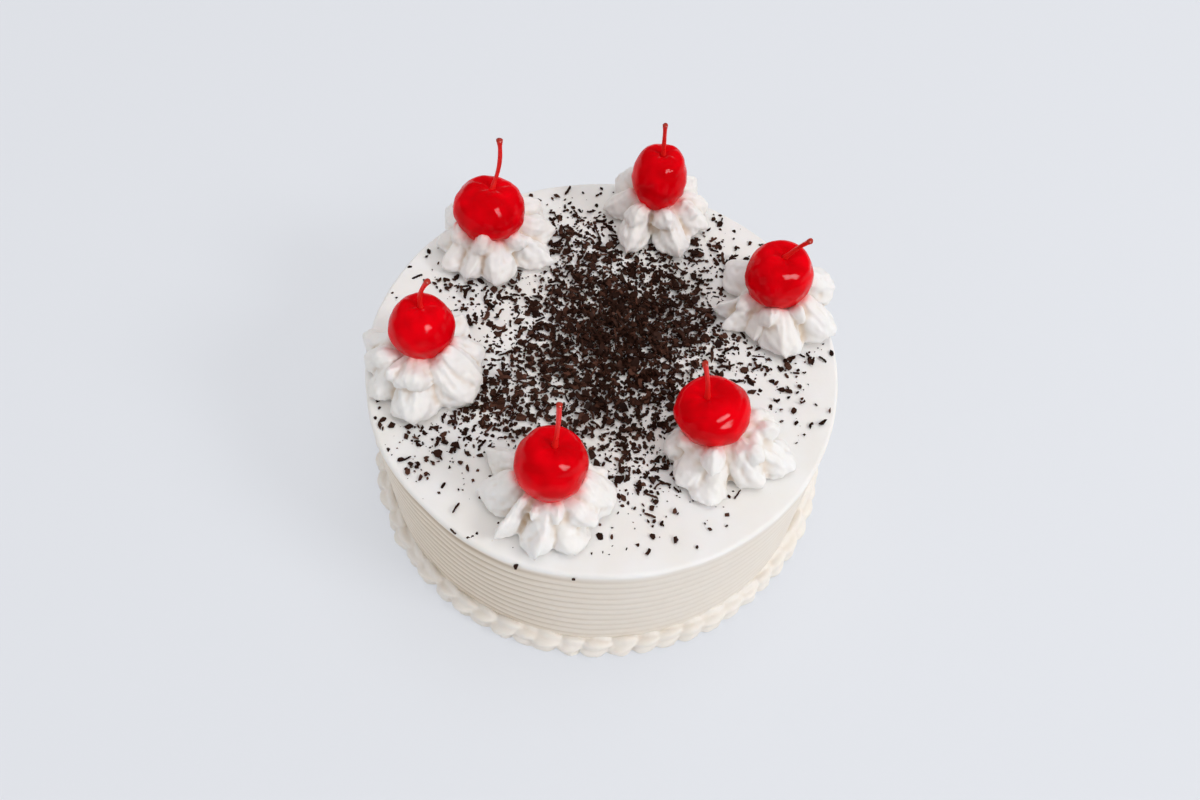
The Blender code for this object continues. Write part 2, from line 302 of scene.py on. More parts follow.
class Shader:
    """A Principled material that is built up from a few kinds of pattern."""

    def __init__(self, name, roughness):
        self.material = bpy.data.materials.new(name)
        self.material.use_nodes = True
        self.nodes = self.material.node_tree.nodes
        self.links = self.material.node_tree.links
        self.surface = self.nodes["Principled BSDF"]
        self.surface.inputs["Roughness"].default_value = roughness
        self.place = self.nodes.new("ShaderNodeTexCoord").outputs["Object"]

    def join(self, start, end):
        self.links.new(start, end)

    def plain(self, **values):
        """Sets the shader's own sockets, named with _ for a space."""
        for name, value in values.items():
            self.surface.inputs[name.replace("_", " ")].default_value = value

    def noise(self, size, detail=2.0, roughness=0.5, stretch=None):
        node = self.nodes.new("ShaderNodeTexNoise")
        node.inputs["Scale"].default_value = 1.0 / size
        node.inputs["Detail"].default_value = detail
        node.inputs["Roughness"].default_value = roughness
        place = self.place
        if stretch:
            mapping = self.nodes.new("ShaderNodeMapping")
            mapping.inputs["Scale"].default_value = stretch
            self.join(place, mapping.inputs["Vector"])
            place = mapping.outputs["Vector"]
        self.join(place, node.inputs["Vector"])
        return node.outputs["Fac"]

    def attribute(self, name):
        node = self.nodes.new("ShaderNodeAttribute")
        node.attribute_name = name
        return node.outputs["Fac"]

    def spread(self, value, low, high, to_low, to_high):
        """Maps the range low to high on to another range, and holds it there."""
        node = self.nodes.new("ShaderNodeMapRange")
        node.inputs["From Min"].default_value = low
        node.inputs["From Max"].default_value = high
        node.inputs["To Min"].default_value = to_low
        node.inputs["To Max"].default_value = to_high
        self.join(value, node.inputs["Value"])
        return node.outputs["Result"]

    def times(self, first, second):
        node = self.nodes.new("ShaderNodeMath")
        node.operation = "MULTIPLY"
        self.join(first, node.inputs[0])
        self.join(second, node.inputs[1])
        return node.outputs["Value"]

    def mix(self, share, first, second):
        """A colour between two, each a tuple or another node's output."""
        node = self.nodes.new("ShaderNodeMix")
        node.data_type = "RGBA"
        self.join(share, node.inputs["Factor"])
        for socket, colour in ((node.inputs[6], first), (node.inputs[7], second)):
            if isinstance(colour, tuple):
                socket.default_value = (*colour, 1.0)
            else:
                self.join(colour, socket)
        return node.outputs[2]

    def colour(self, output):
        self.join(output, self.surface.inputs["Base Color"])

    def gloss(self, output):
        self.join(output, self.surface.inputs["Roughness"])

    def bump(self, height, strength, distance):
        node = self.nodes.new("ShaderNodeBump")
        node.inputs["Strength"].default_value = strength
        node.inputs["Distance"].default_value = distance
        self.join(height, node.inputs["Height"])
        self.join(node.outputs["Normal"], self.surface.inputs["Normal"])


def cream_material(name, pale, warm, crease_shade):
    """Whipped cream: pale, with painted shade in its creases and comb grooves, painted shade and warm
    bounce light on the cake's side and border, and pink where a cherry has bled.
    """
    look = Shader(name, 0.5)
    mottle = look.spread(look.noise(14 * MM), 0.35, 0.65, 0.0, 1.0)
    body = look.mix(mottle, pale, warm)
    # Painted shade and warm bounce light on the cake's side and the border, as much as their "warm"
    # attribute says.
    sided = look.mix(look.attribute("warm"), body, CREAM_SIDE_BOUNCE_SHADE)
    # Painted shade: creases and comb grooves are tinted towards a tan.
    with_fold_shade = look.mix(look.attribute("crease_shade"), sided, crease_shade)
    patchy = look.spread(look.noise(3.5 * MM), 0.35, 0.62, 0.35, 1.0)
    bled = look.mix(look.times(look.attribute("stain"), patchy), with_fold_shade, CHERRY_STAIN)
    look.colour(bled)
    look.gloss(look.spread(look.noise(5 * MM), 0.3, 0.7, 0.48, 0.66))
    look.bump(look.noise(1.1 * MM, detail=3.0), 0.10, 0.25 * MM)
    look.plain(Subsurface_Weight=0.12, Subsurface_Scale=1.2 * MM, Specular_IOR_Level=0.22)
    look.plain(Subsurface_Radius=(1.0, 0.75, 0.55))
    return look.material


def cherry_material():
    """Candied cherry: a saturated red under a film of syrup whose gloss is uneven."""
    look = Shader("candied_cherry", 0.14)
    depth = look.spread(look.noise(6 * MM, detail=1.0), 0.35, 0.65, 0.0, 1.0)
    look.colour(look.mix(depth, CHERRY_BRIGHT, CHERRY_DEEP))
    look.gloss(look.spread(look.noise(3 * MM), 0.35, 0.7, 0.03, 0.12))
    look.bump(look.noise(2.4 * MM, detail=2.0), 0.20, 0.3 * MM)
    look.plain(Subsurface_Weight=0.12, Subsurface_Scale=2 * MM, Specular_IOR_Level=0.14, IOR=1.36)
    look.plain(Subsurface_Radius=(1.0, 0.15, 0.10))
    return look.material


def stem_material():
    look = Shader("cherry_stem", 0.35)
    look.colour(look.mix(look.attribute("tip"), STEM_RED, STEM_BROWN))
    look.gloss(look.spread(look.noise(2 * MM), 0.3, 0.7, 0.25, 0.45))
    look.bump(look.noise(0.8 * MM, stretch=(1.0, 1.0, 0.2)), 0.25, 0.2 * MM)
    look.plain(Specular_IOR_Level=0.35)
    return look.material


def chocolate_material(name):
    look = Shader(name, 0.5)
    grain = look.spread(look.noise(0.9 * MM, detail=3.0), 0.3, 0.7, 0.0, 0.5)
    body = look.mix(look.attribute("tone"), CHOCOLATE_DARK, CHOCOLATE_BROWN)
    look.colour(look.mix(grain, body, CHOCOLATE_DARK))
    look.gloss(look.spread(look.noise(1.5 * MM), 0.3, 0.7, 0.52, 0.74))
    look.bump(look.noise(0.5 * MM, detail=3.0), 0.3, 0.15 * MM)
    look.plain(Specular_IOR_Level=0.10, IOR=1.35)
    return look.material


# The cake

COMB_RIDGES = 11
COMB_FOOT = 5.0 * MM
COMB_TOP = CAKE_TOP - 4.6 * MM
GROOVE_DEPTH = 0.85 * MM
GROOVE_WIDTH = 0.20  # as a share of the pitch
ROWS_A_RIDGE = 12
AROUND = 320
TOP_ROWS = 26
RIM_ROWS = 9
RIM_RADIUS = 1.5 * MM
# Where the comb bit deepest, and how wide that stretch is, in degrees.
COMB_DEEP_AT = 234.0
COMB_DEEP_SPREAD = 30.0
# What the spatula and the comb left out of true: (width, height, seed) of each swell, in
# millimetres.
RIM_SWELLS = ((46, 0.28, 3), (15, 0.07, 4))
TOP_SWELLS = ((38, 0.22, 5), (11, 0.06, 6))
COMB_SWELLS = ((60, 0.30, 7),)


def comb_strength(angle):
    """The comb's grooves are deepest at the front left and faint at the front right."""
    away = (np.degrees(angle) - COMB_DEEP_AT + 180.0) % 360.0 - 180.0
    deep = np.exp(-((away / COMB_DEEP_SPREAD) ** 2))
    far = 0.55 * np.clip((np.abs(away) - 100.0) / 50.0, 0.0, 1.0)
    return 0.16 + 0.84 * np.maximum(deep, far)


def cake_rows():
    """(radius, height, groove share) from the middle of the top to the middle of the base."""
    rows = []
    flat = CAKE_RADIUS - RIM_RADIUS
    for step in range(1, TOP_ROWS + 1):
        rows.append((flat * (step / TOP_ROWS) ** 0.8, CAKE_TOP, 0.0))
    for step in range(1, RIM_ROWS + 1):
        turn = math.radians(90.0) * step / RIM_ROWS
        rows.append((flat + RIM_RADIUS * math.sin(turn), CAKE_TOP - RIM_RADIUS * (1 - math.cos(turn)), 0.0))
    pitch = (COMB_TOP - COMB_FOOT) / COMB_RIDGES
    for step in range(COMB_RIDGES * ROWS_A_RIDGE + 1):
        phase = step / ROWS_A_RIDGE
        off = (phase + 0.5) % 1.0 - 0.5
        groove = math.exp(-((off / GROOVE_WIDTH) ** 2)) - 0.12 * math.cos(math.tau * off)
        rows.append((CAKE_RADIUS, COMB_TOP - phase * pitch, groove))
    for height in (4.0, 2.5, 1.0, 0.0):
        rows.append((CAKE_RADIUS - GROOVE_DEPTH, height * MM, 0.0))
    return rows


def make_cake(material):
    rows = np.array(cake_rows())
    angles = np.linspace(0.0, math.tau, AROUND, endpoint=False)
    radius = np.repeat(rows[:, 0], AROUND)
    height = np.repeat(rows[:, 1], AROUND)
    groove = np.repeat(rows[:, 2], AROUND)
    angle = np.tile(angles, len(rows))
    radius = radius - GROOVE_DEPTH * groove * comb_strength(angle)
    flat = np.stack([radius * np.cos(angle), radius * np.sin(angle), height], axis=1)
    on_side = np.clip((CAKE_TOP - height) / (4.0 * MM), 0.0, 1.0)
    edge = np.clip(radius / CAKE_RADIUS, 0.0, 1.0) ** 6
    radius = radius + edge * uneven(flat, RIM_SWELLS)
    height = height + (1.0 - on_side) * uneven(flat, TOP_SWELLS)
    ring = CAKE_RADIUS * np.stack([np.cos(angle), np.sin(angle), np.zeros_like(angle)], axis=1)
    off_base = np.clip(height / (6.0 * MM), 0.0, 1.0)
    height = height + on_side * off_base * uneven(ring, COMB_SWELLS)
    points = np.stack([radius * np.cos(angle), radius * np.sin(angle), height], axis=1)
    middle_top = [0.0, 0.0, points[:AROUND, 2].mean()]
    points = np.vstack([points, [middle_top, [0.0, 0.0, 0.0]]])
    mesh = new_mesh("cream_coat", points, domed_faces(len(rows), AROUND))
    # Painted shade in the comb's grooves, strongest where the comb bit deepest.
    set_attribute(mesh, "crease_shade", np.append(np.clip(groove, 0.0, 1.0) * comb_strength(angle), [0.0, 0.0]))
    # Painted shade and warm bounce light on the side below the rim, strongest at the front left.
    below = np.clip((CAKE_TOP - 0.7 * MM - height) / (1.2 * MM), 0.0, 1.0)
    below *= 0.62 + 0.38 * comb_strength(angle)
    set_attribute(mesh, "warm", np.append(below, [0.0, 1.0]))
    return adopt("cream_coat", mesh, material, ["cake"])


# The shell border

SHELLS = 62
SHELL_LENGTH = 11.5 * MM
SHELL_OUT = 3.9 * MM
SHELL_UP = 3.8 * MM
SHELL_MIDDLE = 0.8 * MM  # how far a shell's axis lies outside the cake's side
SHELL_RINGS = 14
SHELL_SIDES = 36
SHELL_RIDGES = 5
SHELL_VOXEL = 0.56 * MM
# How much painted shade and warm bounce light the border takes.
BORDER_BOUNCE_SHADE = 0.40


def around_cake(angle, points):
    """Bends (out, along, up) round the cake's side, starting from this angle."""
    radius = CAKE_RADIUS + points[:, 0]
    turn = angle + points[:, 1] / CAKE_RADIUS
    return np.stack([radius * np.cos(turn), radius * np.sin(turn), points[:, 2]], axis=1)


def shell_points(draw, angle):
    """One shell of the border, ridged along its length, tail low and head high."""
    size = draw.uniform(0.95, 1.12)
    pitch = math.radians(draw.uniform(10.0, 24.0))
    out = SHELL_MIDDLE + draw.uniform(-0.25, 0.25) * MM
    twist = draw.uniform(0.0, math.tau)
    rings = []
    for ring in range(SHELL_RINGS + 1):
        share = ring / SHELL_RINGS
        fat = math.sin(math.pi * min(1.0, share ** 0.72)) ** 0.58
        along = (share - 0.5) * SHELL_LENGTH * size
        lift = along * math.sin(pitch)
        for side in range(SHELL_SIDES):
            turn = math.tau * side / SHELL_SIDES
            ridge = 1.0 + 0.42 * (abs(math.cos(0.5 * SHELL_RIDGES * turn + 1.6 * share + twist)) - 0.6)
            rings.append((
                out + fat * ridge * SHELL_OUT * size * math.cos(turn),
                along * math.cos(pitch),
                SHELL_UP * 0.96 + lift + fat * ridge * SHELL_UP * size * math.sin(turn),
            ))
    return around_cake(angle, np.array(rings))


def foot_points(draw, angle):
    """The skirt of a shell, pressed flat where it was set down."""
    length = draw.uniform(3.6, 4.6) * MM
    out = draw.uniform(4.5, 5.1) * MM
    rings = []
    for ring in range(SHELL_RINGS + 1):
        turn = math.pi * ring / SHELL_RINGS
        for side in range(SHELL_SIDES):
            azimuth = math.tau * side / SHELL_SIDES
            across = math.sin(turn)
            rings.append((
                0.2 * MM + out * across * math.cos(azimuth),
                length * across * math.sin(azimuth),
                0.7 * MM - 1.5 * MM * math.cos(turn),
            ))
    return around_cake(angle, np.array(rings))


def make_border(material):
    draw = random.Random(11)
    points, faces = [], []
    rows = SHELL_RINGS + 1
    one = [tuple(reversed(face)) for face in grid_faces(rows, SHELL_SIDES)]
    one.append(tuple(range(SHELL_SIDES)))
    one.append(tuple(reversed(range((rows - 1) * SHELL_SIDES, rows * SHELL_SIDES))))
    for shell in range(SHELLS):
        angle = math.tau * (shell + draw.uniform(-0.11, 0.11)) / SHELLS
        for form in (shell_points(draw, angle), foot_points(draw, angle)):
            start = len(points) * rows * SHELL_SIDES
            points.append(form)
            faces.extend([tuple(start + corner for corner in face) for face in one])
    skin = fused("cream_border", np.vstack(points), faces, SHELL_VOXEL, 1)
    spots = mesh_points(skin)
    spots[:, 2] = np.maximum(spots[:, 2], 0.0)
    across = np.hypot(spots[:, 0], spots[:, 1])
    inside = np.maximum(across, CAKE_RADIUS - 1.2 * MM) / across
    spots[:, :2] *= inside[:, None]
    set_points(skin, spots)
    # Painted shade in the border's creases.
    set_attribute(skin, "crease_shade", 0.45 * cavity(skin, 14, 0.9 * MM))
    # Painted shade and warm bounce light over the whole border.
    set_attribute(skin, "warm", np.full(len(spots), BORDER_BOUNCE_SHADE))
    return adopt("cream_border", skin, material, ["shell_border"])


# The rosettes

PETAL_RINGS = 26
PETAL_SIDES = 34
PETAL_START = 2.0  # in millimetres from the rosette's centre
HUG_AT = (10.0, 12.8)  # where petals, then folds, rise highest, against the cherry's side
HUG_SPREAD = (4.0, 3.0)
ROSETTE_VOXEL = 0.46 * MM
# How far the copy behind the rosettes' painted shade in creases is softened.
CREASE_SHADE_ROUNDS = 45
PLEATS = 38


CHERRY_BOXES = [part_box(f"cherry_{number}") for number in range(1, len(TOPPINGS) + 1)]


def rosette_centre(number):
    low, high = CHERRY_BOXES[number - 1]
    side, back = TOPPINGS[number - 1]["offset"]
    middle = 0.5 * (low + high)
    return Vector((middle.x - side * MM, middle.y - back * MM, CAKE_TOP))


CENTRES = [rosette_centre(number) for number in range(1, len(TOPPINGS) + 1)]


def petal_points(draw, petal, fold):
    """A petal lying along +X, in millimetres: a ridge that falls steeply at its tip."""
    azimuth, reach, crest, width, lean, point = petal
    bend = draw.uniform(-1.4, 1.4)
    wander = draw.uniform(-0.8, 0.8)
    ripple = draw.uniform(0.0, math.tau)
    slow = draw.uniform(0.0, math.tau)
    sharp = 2.5 - 1.5 * point
    base = 0.45 * crest if fold else 0.0
    hug = draw.uniform(1.6, 4.0)
    tip_height = base + 0.20 * crest
    rings = []
    for ring in range(PETAL_RINGS + 1):
        share = ring / PETAL_RINGS
        along = PETAL_START + (reach - PETAL_START) * share
        end = max(0.0, (share - 0.58) / 0.42)
        taper = max(0.0, 1.0 - end ** (2.8 - 1.4 * point)) ** (0.5 + 0.35 * point)
        wide = width * (0.30 + 0.70 * math.sin(0.5 * math.pi * min(1.0, share / 0.66))) * taper
        fall = max(0.0, 1.0 - share ** 3.6) ** 0.60
        high = tip_height + (crest - tip_height) * fall
        high *= 1.0 + 0.06 * math.sin(7.0 * share + slow)
        high += hug * math.exp(-(((along - HUG_AT[fold]) / HUG_SPREAD[fold]) ** 2))
        low = base + (tip_height - base) * max(0.0, (share - 0.55) / 0.45) ** 1.6
        side_bend = bend * share ** 2 + wander * math.sin(math.pi * share)
        for side in range(PETAL_SIDES):
            turn = math.tau * side / PETAL_SIDES
            across = math.cos(turn)
            if math.sin(turn) >= 0.0:
                level = 0.16 + 0.84 * (1.0 - abs(across) ** sharp)
            else:
                level = 0.16 * (1.0 + math.sin(turn))
            groove = 1.0 + 0.055 * math.cos(11.0 * turn + ripple) * min(1.0, 3.0 * share)
            rings.append((
                along + 1.6 * (level - 0.45) * share ** 2,
                across * wide * groove + lean * width * level ** 1.5 * share + side_bend,
                low + (high - low) * level * (0.4 + 0.6 * groove),
            ))
    points = np.array(rings)
    turn = math.radians(azimuth)
    east = points[:, 0] * math.cos(turn) - points[:, 1] * math.sin(turn)
    north = points[:, 0] * math.sin(turn) + points[:, 1] * math.cos(turn)
    return np.stack([east, north, points[:, 2]], axis=1)


def heart_points(reach, height):
    """The full-sided mound that the petals grow from and the cherry sits in, in millimetres."""
    rings = []
    for ring in range(PETAL_RINGS + 1):
        turn = math.pi * ring / PETAL_RINGS
        across = reach * max(0.0, math.sin(turn)) ** 0.6
        rise = -height * math.copysign(abs(math.cos(turn)) ** 0.6, math.cos(turn))
        for side in range(PETAL_SIDES):
            azimuth = math.tau * side / PETAL_SIDES
            rings.append((across * math.cos(azimuth), across * math.sin(azimuth), rise))
    return np.array(rings)


def make_rosette(number, material):
    topping = TOPPINGS[number - 1]
    draw = random.Random(40 + number)
    centre = CENTRES[number - 1]
    forms = [petal_points(draw, petal, False) for petal in topping["petals"]]
    forms += [petal_points(draw, petal, True) for petal in topping["folds"]]
    forms.append(heart_points(11.0, 11.0))
    rows = PETAL_RINGS + 1
    one = grid_faces(rows, PETAL_SIDES)
    one.append(tuple(reversed(range(PETAL_SIDES))))
    one.append(tuple(range((rows - 1) * PETAL_SIDES, rows * PETAL_SIDES)))
    faces = []
    for place in range(len(forms)):
        start = place * rows * PETAL_SIDES
        faces.extend([tuple(start + corner for corner in face) for face in one])
    points = np.vstack(forms) * MM + np.array(centre)
    name = f"cream_rosette_{number}"
    skin = fused(name, points, faces, ROSETTE_VOXEL, 1)
    spots = mesh_points(skin)
    normals = mesh_normals(skin)
    lumps = 0.30 * swell(spots, 7 * MM, 60 + number) + 0.11 * swell(spots, 2.6 * MM, 80 + number)
    # The nozzle's teeth left fine pleats that run outwards from the middle.
    from_middle = spots - np.array(centre)
    out = np.hypot(from_middle[:, 0], from_middle[:, 1]) / MM
    azimuth = np.arctan2(from_middle[:, 1], from_middle[:, 0])
    pleat = np.cos(PLEATS * azimuth + 2.2 * swell(spots, 9 * MM, 90 + number))
    lumps += 0.07 * pleat * np.clip((out - 6.0) / 6.0, 0.0, 1.0)
    spots += normals * (lumps * MM)[:, None]
    spots, stain = pressed(number, spots)
    spots[:, 2] = np.maximum(spots[:, 2], CAKE_TOP - 0.3 * MM)
    set_points(skin, spots)
    # Painted shade in the rosette's creases.
    set_attribute(skin, "crease_shade", cavity(skin, CREASE_SHADE_ROUNDS, 1.0 * MM))
    set_attribute(skin, "stain", stain)
    return adopt(name, skin, material, [f"rosette_{number}"])


CREAM_HOLD = 0.972  # the cream grips the cherry this share of its radii from its middle


def pressed(number, spots):
    """Moves the cream out of the cherry, and says how far the cherry's red has bled into it."""
    low, high = CHERRY_BOXES[number - 1]
    middle = np.array(0.5 * (low + high))
    radii = np.array(0.5 * (high - low))
    away = (spots - middle) / radii
    reach = np.linalg.norm(away, axis=1)
    inside = reach < CREAM_HOLD
    spots[inside] = middle + (away[inside] / reach[inside, None]) * radii * CREAM_HOLD
    distance = np.maximum(reach - 1.0, 0.0) * radii.mean()
    return spots, np.exp(-((distance / (1.5 * MM)) ** 1.3))


# The cherries

CHERRY_RINGS = 72
CHERRY_SIDES = 96
DIMPLE_DEPTH = 2.2 * MM
STEM_RADIUS = 0.72 * MM
STEM_RINGS = 26
STEM_SIDES = 14


def cherry_measures(number):
    """(centre, radii, unit direction of the stem's root) of a cherry, from its CAD box."""
    low, high = CHERRY_BOXES[number - 1]
    middle = 0.5 * (low + high)
    radii = 0.5 * (high - low)
    side, back = TOPPINGS[number - 1]["root"]
    across = Vector((side * MM / radii.x, back * MM / radii.y))
    pole = Vector((across.x, across.y, math.sqrt(1.0 - across.length_squared)))
    return middle, radii, pole


def make_cherry(number, material):
    """A sphere turned to the stem, stretched to the cherry's radii, dimpled and wrinkled."""
    middle, radii, pole = cherry_measures(number)
    lean = np.array(Vector((0.0, 0.0, 1.0)).rotation_difference(pole).to_matrix())
    turn = np.repeat(np.linspace(0.0, math.pi, CHERRY_RINGS + 1)[1:-1], CHERRY_SIDES)
    azimuth = np.tile(np.linspace(0.0, math.tau, CHERRY_SIDES, endpoint=False), CHERRY_RINGS - 1)
    turn = np.concatenate([turn, [0.0, math.pi]])
    azimuth = np.concatenate([azimuth, [0.0, 0.0]])
    across = np.sin(turn)
    sphere = np.stack([across * np.cos(azimuth), across * np.sin(azimuth), np.cos(turn)], axis=1)
    sphere = sphere @ lean.T
    degrees = np.degrees(turn)
    seat = np.array(middle) + sphere * np.array(radii)
    sink = -DIMPLE_DEPTH * np.exp(-((degrees / 21.0) ** 2))
    lip = 0.30 * MM * np.exp(-(((degrees - 40.0) / 15.0) ** 2))
    pleats = np.cos(6.0 * azimuth + 1.3 * number) + 0.6 * np.cos(11.0 * azimuth + 2.1 * number)
    sink += lip + 0.11 * MM * pleats * np.exp(-(((degrees - 26.0) / 13.0) ** 2))
    low = np.clip((degrees - 75.0) / 50.0, 0.0, 1.0)
    sink += 0.24 * MM * swell(seat, 12 * MM, 100 + number)
    sink += (0.07 + 0.16 * low) * MM * swell(seat, 4.2 * MM, 120 + number)
    # A soft crescent where the skin folds over beside the dimple.
    fold = np.cos(azimuth - 4.4 - 0.5 * number)
    sink -= 0.20 * MM * np.clip(fold, 0.0, 1.0) * np.exp(-(((degrees - 58.0) / 5.0) ** 2))
    points = seat + sphere * sink[:, None]
    mesh = new_mesh(f"candied_cherry_{number}", points, domed_faces(CHERRY_RINGS - 1, CHERRY_SIDES))
    return adopt(f"candied_cherry_{number}", mesh, material, [f"cherry_{number}"])


def make_stem(number, material):
    """A bowed stem, thicker at its foot and flared at its cut tip."""
    topping = TOPPINGS[number - 1]
    middle, radii, pole = cherry_measures(number)
    surface = Vector([value * radius for value, radius in zip(pole, radii)])
    root = middle + surface - pole * (DIMPLE_DEPTH + 0.4 * MM)
    side, back, up = topping["tip"]
    tip = Vector((middle.x + side * MM, middle.y + back * MM, CAKE_TOP + up * MM))
    bow = Vector((*topping["bow"], 0.0)) * MM
    draw = random.Random(20 + number)
    turn = draw.uniform(0.0, math.tau)
    points, tips = [], []
    for ring in range(STEM_RINGS + 1):
        share = ring / STEM_RINGS
        centre = root.lerp(tip, share) + bow * math.sin(math.pi * share)
        along = (tip - root + bow * math.pi * math.cos(math.pi * share)).normalized()
        east = along.orthogonal().normalized()
        north = along.cross(east)
        thick = 1.0 + 0.45 * math.exp(-((share / 0.10) ** 2))
        thick += topping["flare"] * math.exp(-(((1.0 - share) / 0.09) ** 2))
        thick += 0.06 * math.sin(9.0 * share + turn)
        for place in range(STEM_SIDES):
            round_ = math.tau * place / STEM_SIDES
            rough = 1.0 + 0.07 * math.cos(3.0 * round_ + turn)
            spot = STEM_RADIUS * thick * rough
            points.append(centre + east * spot * math.cos(round_) + north * spot * math.sin(round_))
            tips.append(max(0.0, (share - 0.93) / 0.07))
    faces = [tuple(face) for face in grid_faces(STEM_RINGS + 1, STEM_SIDES)]
    faces.append(tuple(reversed(range(STEM_SIDES))))
    faces.append(tuple(range(STEM_RINGS * STEM_SIDES, (STEM_RINGS + 1) * STEM_SIDES)))
    mesh = new_mesh(f"candied_stem_{number}", points, faces)
    set_attribute(mesh, "tip", tips)
    return adopt(f"candied_stem_{number}", mesh, material, [f"cherry_stem_{number}"])


# The chocolate shavings

# Where they were strewn: (x, y, spread along x, spread along y, weight), in millimetres.
HEAPS = (
    (6, 9, 18, 22, 1000),
    (-6, 2, 31, 26, 360),
    (-36, -20, 13, 8, 120),
    (-14, 50, 7, 8, 40),
    (-44, 24, 8, 8, 22),
    (-50, -34, 12, 10, 34),
    (16, -42, 7, 8, 22),
    (58, 4, 9, 6, 22),
    (40, 44, 9, 9, 16),
    (0, 0, 44, 44, 60),
)
CELL = 0.5 * MM
PILE_SHARE = 0.55  # how much of a piece's thickness the pile gains where it lies
PRESSED_IN = 0.06 * MM  # how far a shaving sinks into what it lies on
STRAY_PRESSED_IN = 0.05 * MM
CRISP_ANGLE = math.radians(38.0)
LEAN_ON_RIM = math.radians(50.0)
TILT_FLAT = 7.0  # how far a shaving tilts, in degrees, and how much further in the heap
TILT_HEAPED = 19.0


class Pile:
    """The height of the shavings over the cake's top, on a fine square grid."""

    def __init__(self):
        self.cells = int(2 * CAKE_RADIUS / CELL) + 4
        self.height = np.zeros((self.cells, self.cells))

    def window(self, x, y, reach):
        low_x = int((x - reach + CAKE_RADIUS) / CELL)
        low_y = int((y - reach + CAKE_RADIUS) / CELL)
        wide = int(2 * reach / CELL) + 1
        return slice(max(0, low_x), low_x + wide), slice(max(0, low_y), low_y + wide)

    def rest(self, x, y, reach, thick):
        """The height at which a piece comes to rest, after which the pile has grown."""
        place = self.window(x, y, reach)
        found = self.height[place]
        level = 0.5 * (found.max() + found.mean()) if found.size else 0.0
        self.height[place] = np.maximum(found, level + PILE_SHARE * thick)
        return level


def petal_reach(number, x, y):
    """How far out the rosette goes in this direction, and how far out the spot is."""
    centre = CENTRES[number - 1]
    east, north = x - centre.x, y - centre.y
    azimuth = math.degrees(math.atan2(north, east))
    reach = 13.5 * MM
    for turn, tip, _, width, _, point in TOPPINGS[number - 1]["petals"]:
        away = abs((azimuth - turn + 180.0) % 360.0 - 180.0)
        half = math.degrees(math.atan2(width, 0.75 * tip))
        if away < half:
            reach = max(reach, tip * MM * (1.0 - (0.12 + 0.25 * point) * (away / half) ** 1.5))
    return reach, math.hypot(east, north)


def clear_of_rosettes(x, y):
    for number in range(1, len(TOPPINGS) + 1):
        reach, out = petal_reach(number, x, y)
        if out < reach - 0.8 * MM:
            return False
    return True


def strewn_spot(draw):
    """A seeded spot on the cake's top, outside the rosettes."""
    weights = [heap[4] for heap in HEAPS]
    while True:
        x, y, wide, deep, _ = draw.choices(HEAPS, weights)[0]
        x = draw.gauss(x, wide) * MM
        y = draw.gauss(y, deep) * MM
        if math.hypot(x, y) < CAKE_RADIUS - 1.5 * MM and clear_of_rosettes(x, y):
            return x, y


def flake_form(draw):
    """A thin broken plate, bent a little: a fan of rim points, above and below."""
    length = min(4.2, draw.lognormvariate(0.42, 0.42)) * MM
    width = length * draw.uniform(0.35, 0.90)
    thick = draw.uniform(0.25, 0.50) * MM
    bend = draw.uniform(-0.10, 0.28) / MM
    rim = 7
    points = []
    for level in (0.5, -0.5):
        points.append((0.0, 0.0, level * thick))
    turns = [math.tau * (side + draw.uniform(-0.32, 0.32)) / rim for side in range(rim)]
    outs = [draw.uniform(0.60, 1.15) for _ in range(rim)]
    for level in (0.5, -0.5):
        for turn, out in zip(turns, outs):
            x = 0.5 * length * out * math.cos(turn)
            y = 0.5 * width * out * math.sin(turn)
            points.append((x, y, level * thick * 0.8 + bend * x * x))
    faces = []
    for side in range(rim):
        here, beside = 2 + side, 2 + (side + 1) % rim
        faces.append((0, here, beside))
        faces.append((1, beside + rim, here + rim))
        faces.append((here, here + rim, beside + rim, beside))
    return np.array(points), faces, thick, 0.5 * length


def strip_form(draw, length, width, thick, arc):
    """A shaving rolled along its length through this many degrees, with ragged sides."""
    steps = 9
    radius = length / math.radians(arc)
    points = []
    for step in range(steps + 1):
        turn = math.radians(arc) * (step / steps - 0.5)
        half = 0.5 * width * draw.uniform(0.75, 1.1) * (1.0 if 0 < step < steps else 0.6)
        skew = draw.uniform(-0.12, 0.12) * width
        for level in (0.5, -0.5):
            out = radius + level * thick
            rise = out * (1.0 - math.cos(turn)) - level * thick
            for side in (half, -half):
                points.append((out * math.sin(turn), side + skew, rise))
    faces = []
    for step in range(steps):
        here = 4 * step
        ahead = here + 4
        for first, second in ((0, 1), (1, 3), (3, 2), (2, 0)):
            faces.append((here + first, here + second, ahead + second, ahead + first))
    faces.append((0, 2, 3, 1))
    last = 4 * steps
    faces.append((last, last + 1, last + 3, last + 2))
    return np.array(points), faces


def curl_form(draw):
    """A curl, rolled far round."""
    thick = draw.uniform(0.25, 0.45) * MM
    length = draw.uniform(3.4, 6.2) * MM
    points, faces = strip_form(draw, length, draw.uniform(0.9, 1.7) * MM, thick, draw.uniform(120.0, 250.0))
    return points, faces, 1.2 * thick, 0.35 * length


def splinter_form(draw):
    """A narrow sliver, bent slightly."""
    thick = draw.uniform(0.25, 0.45) * MM
    length = draw.uniform(1.8, 4.4) * MM
    points, faces = strip_form(draw, length, draw.uniform(0.45, 0.85) * MM, thick, draw.uniform(8.0, 70.0))
    return points, faces, thick, 0.4 * length


CRUMB_FACES = (
    (0, 1, 2), (0, 2, 3), (0, 3, 4), (0, 4, 1),
    (5, 2, 1), (5, 3, 2), (5, 4, 3), (5, 1, 4),
)
CRUMB_CORNERS = ((0, 0, 1), (1, 0, 0), (0, 1, 0), (-1, 0, 0), (0, -1, 0), (0, 0, -1))


